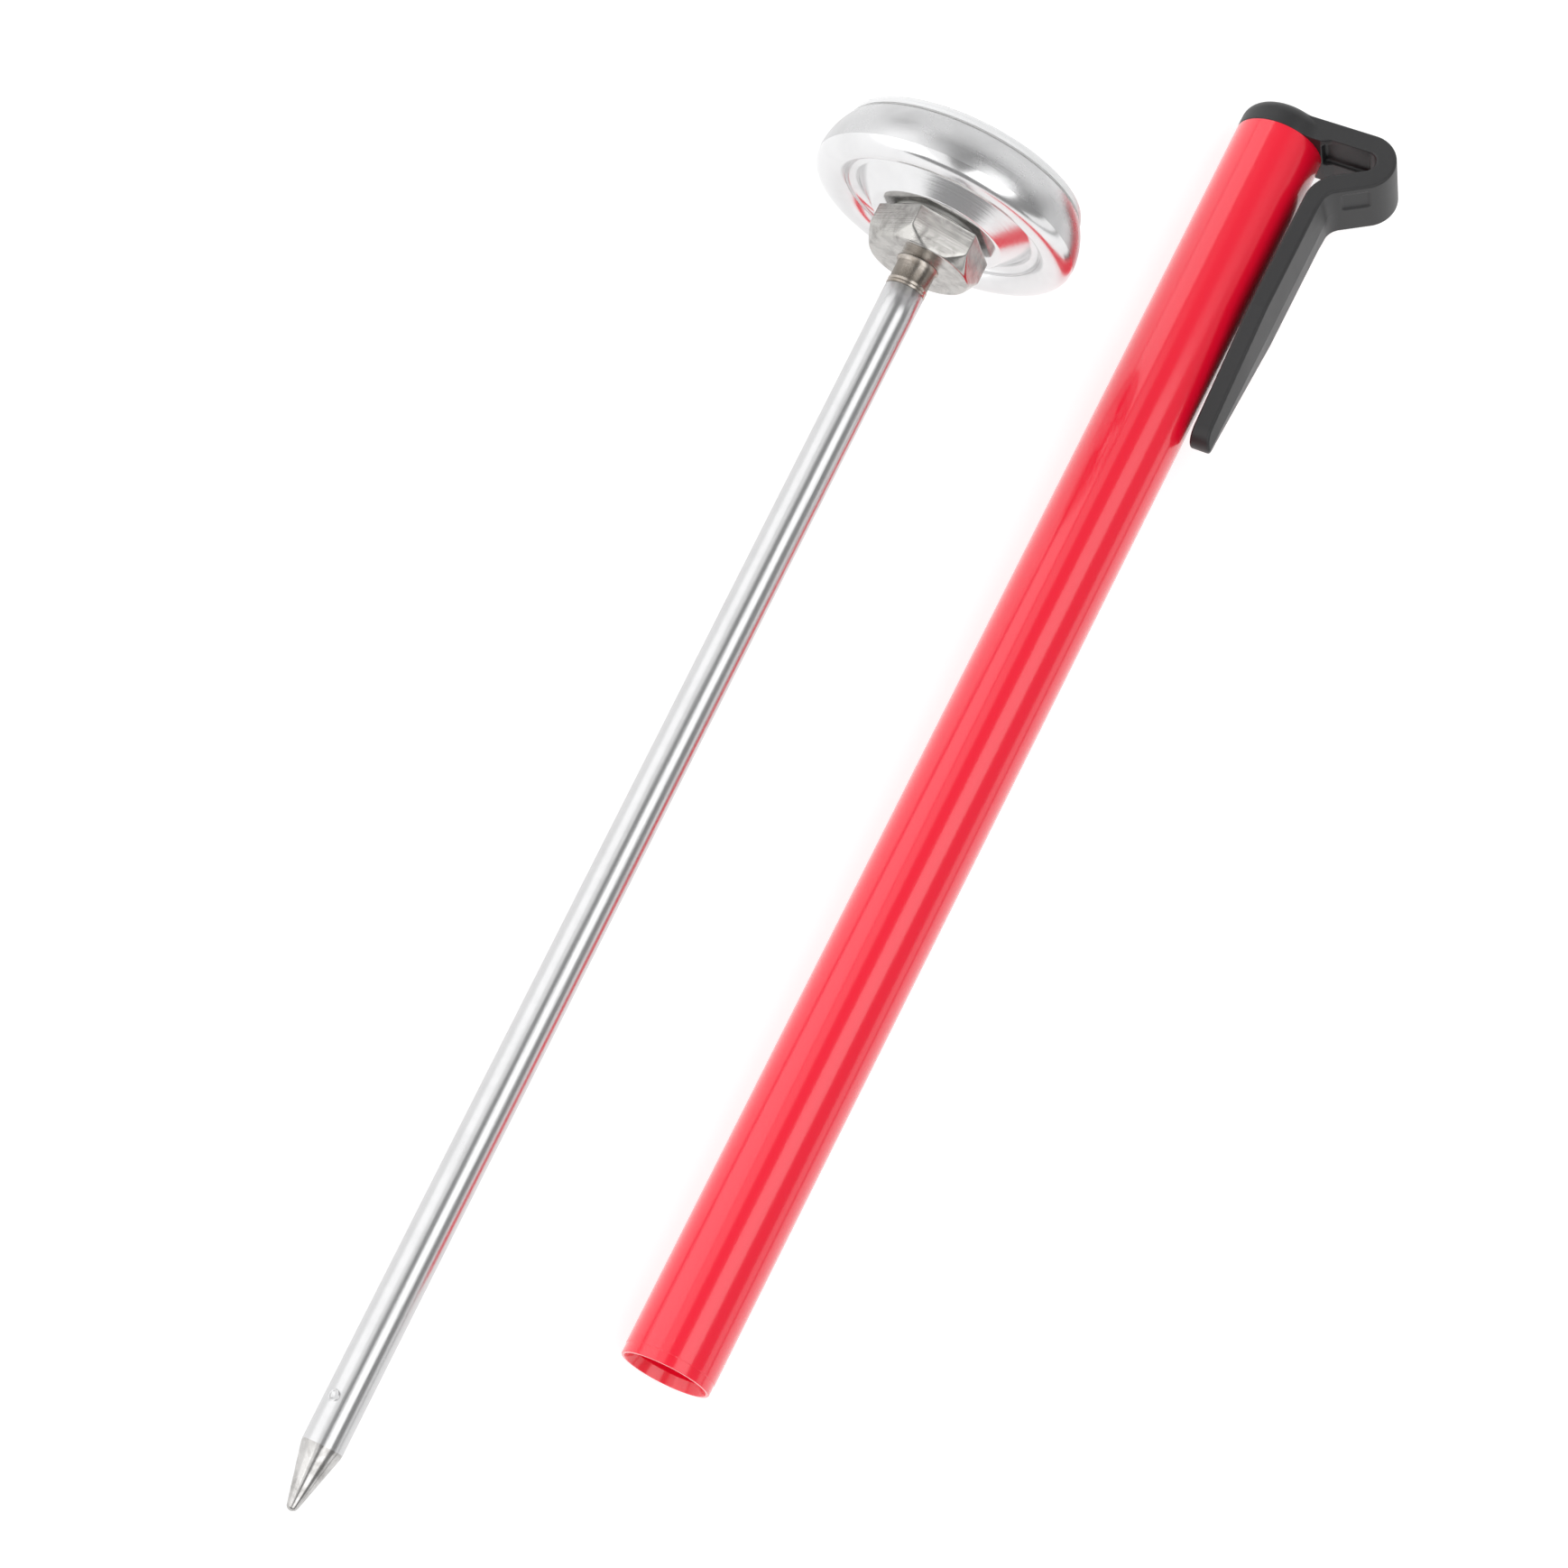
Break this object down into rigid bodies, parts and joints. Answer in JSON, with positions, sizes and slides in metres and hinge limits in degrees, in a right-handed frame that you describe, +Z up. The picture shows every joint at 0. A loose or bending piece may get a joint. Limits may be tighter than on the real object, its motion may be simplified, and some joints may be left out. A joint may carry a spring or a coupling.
{
  "type": "meat thermometer",
  "caption": "Pocket dial thermometer with a pointed steel stem, hexagonal nut and round head, beside its tubular sheath with a pocket clip.",
  "frame": {"origin": "middle of the part's box in X and Y, on the surface that the part lies on", "axes": "+Y along the sheath from its open mouth to its cap, +X towards the clip's side, +Z up"},
  "size_m": [0.0526, 0.1624, 0.0259],
  "materials": {
    "stem_steel": "drawn and polished stainless steel",
    "point_steel": "turned and polished",
    "nut_steel": "milled flats, turned chamfer",
    "tinted_steel": "straw and brown heat tint",
    "case_steel": "spun stainless, polished back and satin side",
    "inner_steel": "plain",
    "bimetal": "rolled strip",
    "bearing_brass": "turned",
    "washer_nylon": "plain",
    "dial_white": "printed white enamel",
    "ring_white": "moulded",
    "gasket_black": "smooth",
    "lens_clear": "clear moulded window",
    "pointer_black": "matte",
    "sheath_red": "glossy moulding",
    "clip_grey": "matte moulding"
  },
  "bodies": {
    "sheath": {"sheath_tube": "sheath_red", "clip_cap": "clip_grey"},
    "clip": {"clip_blade": "clip_grey"},
    "probe": {"stem_tube": "stem_steel", "stem_point": "point_steel", "coil_anchor": "inner_steel", "bimetal_coil": "bimetal", "lower_bearing": "bearing_brass", "upper_bearing": "bearing_brass", "neck_weld": "tinted_steel", "hex_nut": "nut_steel", "hub_collar": "inner_steel"},
    "dial_head": {"friction_washer": "washer_nylon", "case_back": "case_steel", "dial_plate": "dial_white", "dial_ring": "ring_white", "lens_gasket": "gasket_black", "lens": "lens_clear"},
    "needle": {"spindle": "inner_steel", "pointer_hub": "bearing_brass", "pointer": "pointer_black"}
  },
  "joints": [
    {"name": "clip_flex", "type": "hinge", "parent": "sheath", "child": "clip", "pos_m": [0.02464, 0.07777, 0.0103], "axis": [-0.4695, 0, 0.8829], "range_deg": [0, 7], "stiffness_Nm_per_rad": 0.35, "springref_deg": -2.86},
    {"name": "draw_out", "type": "slide", "parent": "sheath", "child": "probe", "axis": [0, 1, 0], "range_m": [0, 0.125]},
    {"name": "calibrate", "type": "hinge", "parent": "probe", "child": "dial_head", "pos_m": [-0.01322, 0.04738, 0.01277], "axis": [-0.0298, 0.9956, 0.0883], "continuous": true},
    {"name": "pointer_sweep", "type": "hinge", "parent": "probe", "child": "needle", "pos_m": [-0.01322, 0.04738, 0.01277], "axis": [0.0298, -0.9956, -0.0883], "range_deg": [-98, 202], "stiffness_Nm_per_rad": 0.0002}
  ]
}
